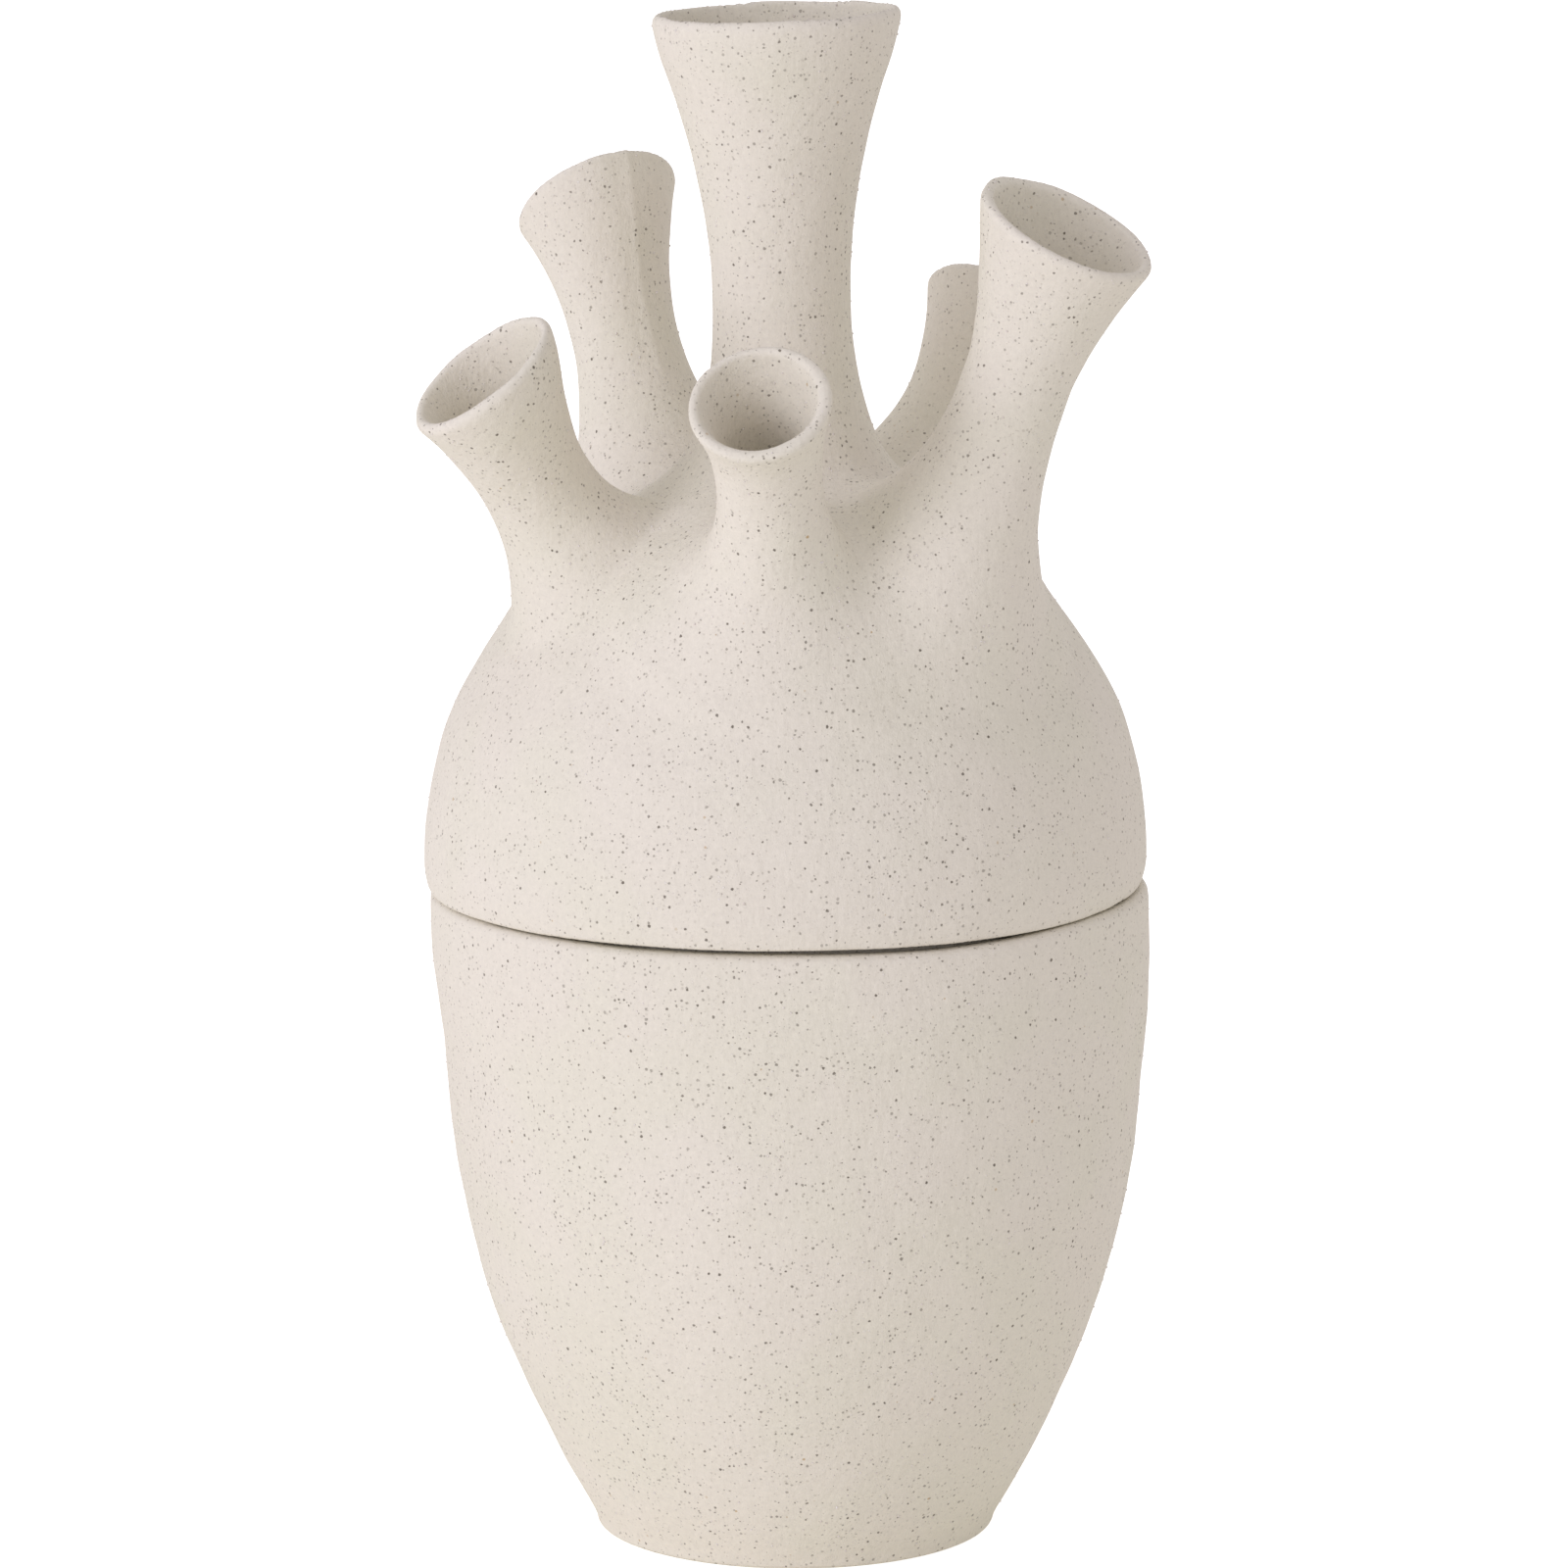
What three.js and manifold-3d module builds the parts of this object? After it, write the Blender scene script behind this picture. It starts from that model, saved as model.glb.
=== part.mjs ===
// Stoneware flower vase in two loose parts: an egg-shaped lower vessel, and a domed cover
// that lifts off and carries one upright centre spout and five leaning side spouts.
// Millimetres, +Z up, origin at the centre of the flat foot. The front faces -Y.
// Turns are degrees about the vertical axis, 0 at the front and positive towards +X.

import * as THREE from 'three';
import { mergeVertices } from 'three/addons/utils/BufferGeometryUtils.js';
import Module from 'manifold-3d';

// Lower vessel: an ellipse turned about the axis, cut flat at the foot and at the rim
const vesselHeight = 145;
const vesselRadius = 79.9;
const widestBelowRim = 4;
const vesselCurve = 167;
const vesselWall = 5;
const floorThickness = 7;
const floorFillet = 10;
const edgeRadius = 1.2;

// Cover dome: a half ellipse on a short upright skirt, a little wider than the vessel
const domeOverhang = 0.2;
const domeRadius = vesselRadius + domeOverhang;
const domeRise = 87.5;
const domeWall = 5;
const skirtHeight = 5;
const coverShift = -1.7;

// Locating flange under the cover
const flangeDepth = 10;
const flangeWall = 3.6;
const flangeClearance = 2.8;
const flangeBlend = 12;

// Gaps between pieces that rest on or are luted to each other
const seatGap = 0.3;
const lutingGap = 0.3;

// Spouts: wall at the neck and at the lip, and how deep a flared foot starts below the dome
const spoutWall = 3.6;
const lipWall = 2.6;
const footDepth = 6;
const boreReach = 14;

// Spouts, the upright centre one first. footReach is the foot's distance from the cover's axis,
// outward how much further out the mouth is, rise how much higher, lean the tilt of the mouth
// from level, and neckPlace how far along the spout its narrowest place lies. The lengths are for
// a dome of 80.1 mm radius, and grow with the dome.
const spoutScale = domeRadius / 80.1;
const spoutLengths = ['footReach', 'outward', 'rise', 'neckRadius', 'mouthRadius', 'flareRadius'];
const spouts = [
  {
    name: 'centre_spout',
    footReach: 0.7, footTurn: -90, outward: 1.8, mouthTurn: -90, rise: 101.3, lean: 1.2, leanTurn: -90,
    neckRadius: 15.2, mouthRadius: 28.2, flareRadius: 24, neckPlace: 0.39,
  },
  {
    name: 'front_spout',
    footReach: 51, footTurn: -3, outward: 26.5, mouthTurn: -4, rise: 46.1, lean: 43, leanTurn: -10,
    neckRadius: 11.6, mouthRadius: 15.6, flareRadius: 28, neckPlace: 0.55,
  },
  {
    name: 'right_spout',
    footReach: 46.5, footTurn: 46, outward: 27.5, mouthTurn: 55, rise: 75.8, lean: 27.4, leanTurn: 53,
    neckRadius: 12.9, mouthRadius: 20.3, flareRadius: 28, neckPlace: 0.52,
  },
  {
    name: 'right_rear_spout',
    footReach: 50.8, footTurn: 148, outward: 24.4, mouthTurn: 140, rise: 49.1, lean: 41, leanTurn: 149,
    neckRadius: 12.1, mouthRadius: 17.4, flareRadius: 26, neckPlace: 0.58,
  },
  {
    name: 'left_rear_spout',
    footReach: 49.5, footTurn: -147, outward: 23.8, mouthTurn: -143, rise: 72.5, lean: 40, leanTurn: -151,
    neckRadius: 12.2, mouthRadius: 19, flareRadius: 27.5, neckPlace: 0.55,
  },
  {
    name: 'left_front_spout',
    footReach: 49.5, footTurn: -62, outward: 26.5, mouthTurn: -59, rise: 45.8, lean: 39, leanTurn: -59,
    neckRadius: 12.1, mouthRadius: 17.4, flareRadius: 26.5, neckPlace: 0.53,
  },
];
for (const spout of spouts) {
  for (const length of spoutLengths) spout[length] *= spoutScale;
}

// Exponents of the trumpet curve above and below the neck
const mouthFlareCurve = 1.9;
const footFlareCurve = 2.4;

// Facets
const bodySegments = 40;
const spoutSegments = 22;
const wallSteps = 11;
const spoutSteps = 11;
const boreSteps = 5;

const wasm = await Module();
wasm.setup();

const point = (radius, height) => new THREE.Vector2(radius, height);

// A closed three.js geometry as a solid: corners shared, and triangles without area left out
function solidOf(geometry) {
  const bare = geometry.clone();
  bare.deleteAttribute('normal');
  bare.deleteAttribute('uv');
  const merged = mergeVertices(bare, 1e-4);
  const corners = merged.index.array;
  const kept = [];
  for (let i = 0; i < corners.length; i += 3) {
    const [a, b, c] = [corners[i], corners[i + 1], corners[i + 2]];
    if (a !== b && b !== c && c !== a) kept.push(a, b, c);
  }
  const vertProperties = new Float32Array(merged.attributes.position.array);
  const triVerts = new Uint32Array(kept);
  return new wasm.Manifold(new wasm.Mesh({ numProp: 3, vertProperties, triVerts }));
}

// A solid as a named mesh in its own clay
function claySolid(name, solid) {
  const mesh = solid.getMesh();
  const geometry = new THREE.BufferGeometry();
  geometry.setAttribute('position', new THREE.BufferAttribute(new Float32Array(mesh.vertProperties), 3));
  geometry.setIndex(new THREE.BufferAttribute(new Uint32Array(mesh.triVerts), 1));
  geometry.computeVertexNormals();
  const clay = new THREE.MeshStandardMaterial({ color: 0xe4dcd0, roughness: 0.92, metalness: 0 });
  const piece = new THREE.Mesh(geometry, clay);
  piece.name = name;
  return piece;
}

// A profile of (radius, height) points turned about the vertical axis
function turned(profile, segments) {
  return new THREE.LatheGeometry(profile, segments).rotateX(Math.PI / 2);
}

// Evenly spaced numbers from one value to another
function steps(from, to, count) {
  return Array.from({ length: count + 1 }, (unused, i) => from + (to - from) * i / count);
}

// Points of a circular arc in the profile plane, angles in degrees
function arc(radius, height, bend, from, to, count) {
  return steps(from, to, count).map((degrees) => {
    const angle = THREE.MathUtils.degToRad(degrees);
    return point(radius + bend * Math.cos(angle), height + bend * Math.sin(angle));
  });
}

const widestHeight = vesselHeight - widestBelowRim;

// Radius of the vessel's wall at a height, moved inward by a thickness
function vesselRadiusAt(height, inward) {
  const drop = (widestHeight - height) / (vesselCurve - inward);
  return (vesselRadius - inward) * Math.sqrt(Math.max(0, 1 - drop * drop));
}

function lowerVessel() {
  const rimTop = vesselHeight - edgeRadius;
  const rimRadius = vesselRadiusAt(vesselHeight, 0);
  const mouthRadius = vesselRadiusAt(vesselHeight, vesselWall);
  const outside = steps(edgeRadius, rimTop, wallSteps).map((z) => point(vesselRadiusAt(z, 0), z));
  const inside = steps(rimTop, floorThickness + floorFillet, wallSteps)
    .map((z) => point(vesselRadiusAt(z, vesselWall), z));
  const filletRadius = vesselRadiusAt(floorThickness + floorFillet, vesselWall) - floorFillet;
  const profile = [
    point(0, 0),
    point(vesselRadiusAt(edgeRadius, 0) - edgeRadius, 0),
    ...outside,
    ...arc(rimRadius - edgeRadius, rimTop, edgeRadius, 30, 90, 2),
    ...arc(mouthRadius + edgeRadius, rimTop, edgeRadius, 90, 150, 2),
    ...inside,
    ...arc(filletRadius, floorThickness + floorFillet, floorFillet, -30, -90, 3),
    point(0, floorThickness),
  ];
  return solidOf(turned(profile, bodySegments));
}

const seatHeight = vesselHeight + seatGap;
const domeFoot = seatHeight + skirtHeight;

// The dome's outline, grown outward or inward, from the skirt up to the crown
function domeLine(grow) {
  return steps(0, 90, wallSteps).map((degrees) => {
    const angle = THREE.MathUtils.degToRad(degrees);
    const radius = degrees < 90 ? (domeRadius + grow) * Math.cos(angle) : 0;
    return point(radius, domeFoot + (domeRise + grow) * Math.sin(angle));
  });
}

// Height of the dome's outer surface at a distance from the cover's axis
function domeHeightAt(reach) {
  return domeFoot + domeRise * Math.sqrt(1 - (reach / domeRadius) ** 2);
}

// Tilt from the vertical of the dome's outer surface normal at a distance from the cover's axis
function domeTiltAt(reach) {
  const rise = domeHeightAt(reach) - domeFoot;
  return Math.atan2(reach / domeRadius ** 2, rise / domeRise ** 2);
}

// The dome's shell with its skirt, its seat on the rim and its locating flange
function domeShell() {
  const flangeRadius = vesselRadiusAt(vesselHeight, vesselWall) - flangeClearance;
  const flangeBore = flangeRadius - flangeWall;
  const flangeEnd = seatHeight - flangeDepth;
  const blendTop = domeFoot + flangeBlend;
  const inside = domeLine(-domeWall).filter((p) => p.y > blendTop);
  const profile = [
    ...inside.reverse(),
    point(flangeBore, domeFoot),
    point(flangeBore, flangeEnd + edgeRadius),
    point(flangeBore + edgeRadius, flangeEnd),
    point(flangeRadius - edgeRadius, flangeEnd),
    point(flangeRadius, flangeEnd + edgeRadius),
    point(flangeRadius, seatHeight),
    ...arc(domeRadius - edgeRadius, seatHeight + edgeRadius, edgeRadius, -90, 0, 3),
    ...domeLine(0),
  ];
  return solidOf(turned(profile, bodySegments)).translate([coverShift, 0, 0]);
}

// The whole dome grown by a gap, down to the seat, for cutting the spouts' feet to it
function domeEnvelope(gap) {
  const profile = [
    point(0, seatHeight),
    point(domeRadius + gap, seatHeight),
    ...domeLine(gap),
  ];
  return solidOf(turned(profile, bodySegments)).translate([coverShift, 0, 0]);
}

const direction = (turn, tilt) => {
  const around = THREE.MathUtils.degToRad(turn);
  const outward = Math.sin(tilt);
  return new THREE.Vector3(outward * Math.sin(around), -outward * Math.cos(around), Math.cos(tilt));
};

const coverPoint = (reach, turn, height) => {
  const around = THREE.MathUtils.degToRad(turn);
  return new THREE.Vector3(coverShift + reach * Math.sin(around), -reach * Math.cos(around), height);
};

// A spout's curved axis, from below the dome's surface to the centre of its mouth
function spoutAxis(spout) {
  const foot = coverPoint(spout.footReach, spout.footTurn, domeHeightAt(spout.footReach));
  const mouth = coverPoint(spout.footReach + spout.outward, spout.mouthTurn, foot.z + spout.rise);
  const footDirection = direction(spout.footTurn, domeTiltAt(spout.footReach));
  const mouthDirection = direction(spout.leanTurn, THREE.MathUtils.degToRad(spout.lean));
  const start = foot.clone().addScaledVector(footDirection, -footDepth);
  const handle = start.distanceTo(mouth) / 3;
  return new THREE.CubicBezierCurve3(
    start,
    start.clone().addScaledVector(footDirection, handle),
    mouth.clone().addScaledVector(mouthDirection, -handle),
    mouth,
  );
}

// Outer radius of a trumpet at a fraction of its axis, 0 at the foot and 1 at the mouth
function trumpetRadius(spout, place) {
  const above = Math.max(0, (place - spout.neckPlace) / (1 - spout.neckPlace));
  const below = Math.max(0, (spout.neckPlace - place) / spout.neckPlace);
  const flare = (spout.mouthRadius - spout.neckRadius) * above ** mouthFlareCurve;
  return spout.neckRadius + flare + (spout.flareRadius - spout.neckRadius) * below ** footFlareCurve;
}

// Radius of the bore: even up to the neck, then opening with the trumpet and thinning to the lip
function boreRadius(spout, place) {
  const above = Math.max(0, (place - spout.neckPlace) / (1 - spout.neckPlace));
  if (above === 0) return spout.neckRadius - spoutWall;
  return trumpetRadius(spout, place) - spoutWall + (spoutWall - lipWall) * above;
}

// A turned profile bent along a spout's axis: its height becomes the length along the curve,
// and it runs straight on past either end
function bent(profile, spout, axis) {
  const geometry = turned(profile, spoutSegments);
  const length = axis.getLength();
  const side = direction(spout.footTurn + 90, Math.PI / 2);
  const positions = geometry.attributes.position;
  for (let i = 0; i < positions.count; i += 1) {
    const along = positions.getZ(i);
    const place = THREE.MathUtils.clamp(along / length, 0, 1);
    const tangent = axis.getTangentAt(place);
    const front = new THREE.Vector3().crossVectors(side, tangent).normalize();
    const left = new THREE.Vector3().crossVectors(tangent, front);
    const spot = axis.getPointAt(place).addScaledVector(tangent, along - place * length);
    spot.addScaledVector(front, positions.getX(i)).addScaledVector(left, positions.getY(i));
    positions.setXYZ(i, spot.x, spot.y, spot.z);
  }
  return solidOf(geometry);
}

// The trumpet itself: flared outside, rounded lip, bore, open at both ends
function trumpet(spout, axis) {
  const length = axis.getLength();
  const lip = lipWall / 2;
  const top = length - lip;
  const outside = steps(0, top, spoutSteps).map((s) => point(trumpetRadius(spout, s / length), s));
  const inside = steps(top, 0, boreSteps).map((s) => point(boreRadius(spout, s / length), s));
  const lipRadius = trumpetRadius(spout, top / length) - lip;
  const profile = [...outside, ...arc(lipRadius, top, lip, 45, 135, 2), ...inside];
  profile.push(profile[0].clone());
  return bent(profile, spout, axis);
}

// The trumpet without its bore, grown by a gap, for cutting its neighbours
function trumpetEnvelope(spout, axis, gap) {
  const length = axis.getLength();
  const outside = steps(0, length, spoutSteps)
    .map((s) => point(trumpetRadius(spout, s / length) + gap, s));
  return bent([point(0, 0), ...outside, point(0, length)], spout, axis);
}

// The hole that carries a spout's bore on through the dome's wall
function domeHole(spout, axis) {
  const radius = spout.neckRadius - spoutWall;
  const profile = [
    point(0, -boreReach),
    point(radius, -boreReach),
    point(radius, boreReach),
    point(0, boreReach),
  ];
  return bent(profile, spout, axis);
}

// Each spout's foot is cut to the dome, and a later spout gives way to the earlier ones
const vase = new THREE.Group();
vase.add(claySolid('lower_vessel', lowerVessel()));

let dome = domeShell();
const cutters = [domeEnvelope(lutingGap)];
for (const spout of spouts) {
  const axis = spoutAxis(spout);
  dome = dome.subtract(domeHole(spout, axis));
  let solid = trumpet(spout, axis);
  for (const cutter of cutters) solid = solid.subtract(cutter);
  vase.add(claySolid(spout.name, solid));
  cutters.push(trumpetEnvelope(spout, axis, lutingGap));
}
vase.add(claySolid('cover_dome', dome));

export default vase;
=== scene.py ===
import math

import bpy
import numpy as np
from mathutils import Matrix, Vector


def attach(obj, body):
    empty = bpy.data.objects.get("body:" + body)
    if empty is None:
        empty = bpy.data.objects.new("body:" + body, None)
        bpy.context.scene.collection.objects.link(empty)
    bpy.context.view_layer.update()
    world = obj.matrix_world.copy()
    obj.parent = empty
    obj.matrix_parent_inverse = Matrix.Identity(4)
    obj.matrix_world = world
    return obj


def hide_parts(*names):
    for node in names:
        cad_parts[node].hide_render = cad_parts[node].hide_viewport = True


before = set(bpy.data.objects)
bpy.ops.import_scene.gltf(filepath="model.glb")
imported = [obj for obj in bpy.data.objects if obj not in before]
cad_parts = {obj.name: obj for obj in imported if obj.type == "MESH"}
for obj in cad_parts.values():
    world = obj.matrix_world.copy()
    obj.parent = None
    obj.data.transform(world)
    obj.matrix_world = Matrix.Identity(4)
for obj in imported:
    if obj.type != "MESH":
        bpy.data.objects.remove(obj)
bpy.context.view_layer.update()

# Shapes are worked out in millimetres from the middle of the vase's foot, and made in metres.
MM = 0.001

# Cover: one body of clay, a dome with six trumpet spouts luted on

# The cover stands a little left on the vessel. Its dome springs from DOME_Z, and the higher
# its roundness is, the fuller its shoulder.
SHIFT_X = -1.7
DOME_RADIUS = 80.1
DOME_RISE = 89.2
DOME_ROUNDNESS = 2.083
DOME_Z = 150.4

# The clay's thickness in the dome and in a spout's neck and lip, and how deep below the
# dome's surface a side spout's axis starts
DOME_WALL = 5.0
NECK_WALL = 4.3
LIP_WALL = 2.5
FOOT_DEPTH = 6.0

# The flange that hangs inside the vessel: its radii, half its thickness, its lower end,
# where it ends inside the dome, and how fast the dome's inside widens above it
FLANGE_OUTSIDE = 71.9
FLANGE_INSIDE = 68.5
FLANGE_HALF = 1.7
FLANGE_END = 135.4
FLANGE_TOP = 152
INSIDE_WIDENS = 0.5

# The dome's foot pulls in a little over the last millimetres above the seat
SEAT_PULL = 1.1
SEAT_PULL_OVER = 6

# A slight ripple round the seat: its size, and how many waves
SEAT_RIPPLE = 0.04
SEAT_RIPPLES = 11

# How softly the edges of the cover run into each other
SEAT_EDGE = 0.8
FLANGE_EDGE = 2.0
FLANGE_ROOT = 1.0
INSIDE_CORNER = 3.0
LIP_EDGE = 1.1

# Where along a spout the wall starts to thin, and over what share of it, first to the
# neck's wall and then to the lip's; and how far beside the spout's skin that fades out
NECK_FROM, NECK_OVER = 0.25, 0.35
LIP_FROM, LIP_OVER = 0.6, 0.4
THIN_FULL, THIN_REACH = 1.5, 12

# How the dome strays from a true one: height, sideways shift, swell
DOME_STRAY = (
    (145, -0.42, 0.0), (155, -0.33, 0.25), (168, -0.20, 0.05), (175, -0.20, -0.15),
    (182, -0.15, 0.0), (190, 0.10, -0.65), (198, 0.1, -1.5), (206, -0.2, -1.85),
    (216, -0.1, -0.7), (228, 0.0, 0.0),
)

# The seam round the vase: turn from the front, height of its middle, how wide it gapes
SEAM = (
    (-180, 145.60, 0.40), (-110, 145.30, 0.30), (-75, 145.40, 0.30), (-50, 145.50, 0.50),
    (-25, 145.65, 1.00), (0, 145.88, 1.15), (12, 145.71, 1.20), (25, 145.62, 1.25),
    (38, 145.86, 0.85), (48, 146.20, 0.45), (58, 146.55, 0.35), (70, 146.65, 0.55),
    (90, 146.50, 0.40), (130, 146.00, 0.40), (180, 145.60, 0.40),
)

# Each side spout: distance of its foot from the cover's axis and its turn from the front,
# the mouth's distance, turn and height, the lean of the axis there, the lean of the lip's
# plane, how far the axis holds its way at foot and mouth, the radii of neck, lip and flared
# foot, where the neck lies along the spout, the powers of the two flares, how round the lip
# is, and how widely the foot is smoothed into the dome. One has a ridge along it: its turn,
# height and width.
SPOUTS = {
    "front": dict(
        foot=(50.3, -3.0), mouth=(77.5, -4.5, 264.5), lean=(42.8, -11.1), cut=(45.0, -10.0),
        handles=(0.333, 0.333), neck=11.45, lip=15.8, flare=26.5, at=0.588,
        powers=(2.02, 2.26), round=2.3, blend=13.0,
    ),
    "left_front": dict(
        foot=(48.7, -66.2), mouth=(78.1, -58.7, 265.9), lean=(36.1, -59.9), cut=(39.5, -65.6),
        handles=(0.415, 0.155), neck=12.05, lip=18.85, flare=24.2, at=0.48,
        powers=(1.69, 2.35), round=2.6, blend=1.2,
    ),
    "right": dict(
        foot=(47.1, 45.2), mouth=(75.5, 53.6, 297.4), lean=(23.1, 64.1), cut=(28.2, 60.0),
        handles=(0.381, 0.248), neck=11.85, lip=20.55, flare=31.3, at=0.613,
        powers=(1.49, 2.78), round=2.4, blend=5.0,
    ),
    "left_rear": dict(
        foot=(49.65, -147.9), mouth=(74.1, -143.8, 291.5), lean=(34.0, -151.1), cut=(41.8, -149.4),
        handles=(0.272, 0.183), neck=11.75, lip=19.1, flare=29.35, at=0.604,
        powers=(1.95, 1.87), round=2.4, blend=5, ridge=(30, 0.3, 1.4),
    ),
    "right_rear": dict(
        foot=(51.2, 147.9), mouth=(75.6, 140.5, 267.8), lean=(39.1, 146.1), cut=(41.1, 147.0),
        handles=(0.329, 0.340), neck=11.95, lip=17.5, flare=27.55, at=0.592,
        powers=(1.76, 1.77), round=2.1, blend=5,
    ),
}

# The centre spout: both ends of its axis, the way there at the mouth, how many millimetres
# the axis holds its way at foot and mouth, and the rest as above. Its lip is tucked in: from
# where along the spout, and how far.
CENTRE = dict(
    start=(-2.0, 0, 226.0), end=(-4.1, 0, 340.4), end_way=(-0.023, 0.0, 1.0), held=(32.5, 36.7),
    cut=(2.2, -98.0), neck=15.2, lip=29.5, flare=33.1, at=0.457,
    powers=(1.84, 2.48), round=3.4, blend=8.2, tuck=(0.89, 1.83),
)


def smooth_min(a, b, width):
    h = np.clip(0.5 + 0.5 * (b - a) / width, 0, 1)
    return b + (a - b) * h - width * h * (1 - h)


def smooth_max(a, b, width):
    return -smooth_min(-a, -b, width)


def waves(seed, count, shortest, longest):
    """Directions, wave numbers and phases of a smooth unevenness, as a hand leaves it."""
    rng = np.random.default_rng(seed)
    way = rng.normal(size=(count, 3))
    way /= np.linalg.norm(way, axis=1, keepdims=True)
    length = np.exp(rng.uniform(math.log(shortest), math.log(longest), count))
    return way * (2 * math.pi / length)[:, None], rng.uniform(0, 2 * math.pi, count)


def uneven(points, pattern):
    ways, phases = pattern
    total = np.zeros(len(points))
    for way, phase in zip(ways, phases):
        total += np.sin(points @ way + phase)
    return total / math.sqrt(len(ways) / 2)


# The hand's unevenness: broad and close waves, and the size of each on cover and vessel
BROAD = waves(seed=3, count=7, shortest=45, longest=130)
CLOSE = waves(seed=8, count=9, shortest=9, longest=26)
COVER_UNEVEN = (0.2, 0.05)
VESSEL_UNEVEN = (0.22, 0.06)

# Steps up and down over which a table of heights is averaged
EASED_OVER = (-5, -3, -1, 1, 3, 5)


def hand_marks(points, sizes):
    broad, close = sizes
    return broad * uneven(points, BROAD) + close * uneven(points, CLOSE)


def eased(height, heights, values):
    """A table's value at a height, averaged over a few millimetres so that it has no kinks."""
    return sum(np.interp(height + step, heights, values) for step in EASED_OVER) / len(EASED_OVER)


def turned_direction(tilt, turn):
    t, a = math.radians(tilt), math.radians(turn)
    return np.array([math.sin(t) * math.sin(a), -math.sin(t) * math.cos(a), math.cos(t)])


def side_axis(s):
    """Corners of the curve that a side spout's axis follows, from below the dome to its mouth."""
    reach, turn = s["foot"]
    ratio = reach / DOME_RADIUS
    height = DOME_RISE * (1 - ratio**DOME_ROUNDNESS) ** (1 / DOME_ROUNDNESS)
    slope_r = ratio ** (DOME_ROUNDNESS - 1) / DOME_RADIUS
    slope_z = (height / DOME_RISE) ** (DOME_ROUNDNESS - 1) / DOME_RISE
    start_way = turned_direction(math.degrees(math.atan2(slope_r, slope_z)), turn)
    end_way = turned_direction(*s["lean"])
    a = math.radians(turn)
    start = np.array([reach * math.sin(a) + SHIFT_X, -reach * math.cos(a), DOME_Z + height])
    start -= FOOT_DEPTH * start_way
    out, m, z = s["mouth"][0], math.radians(s["mouth"][1]), s["mouth"][2]
    end = np.array([out * math.sin(m) + SHIFT_X, -out * math.cos(m), z])
    span = np.linalg.norm(end - start)
    first, last = (span * share for share in s["handles"])
    return np.array([start, start + first * start_way, end - last * end_way, end])


def centre_axis(s):
    start, end, end_way = (np.array(s[key], float) for key in ("start", "end", "end_way"))
    first, last = s["held"]
    return np.array([start, start + np.array([0, 0, first]), end - last * end_way, end])


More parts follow.
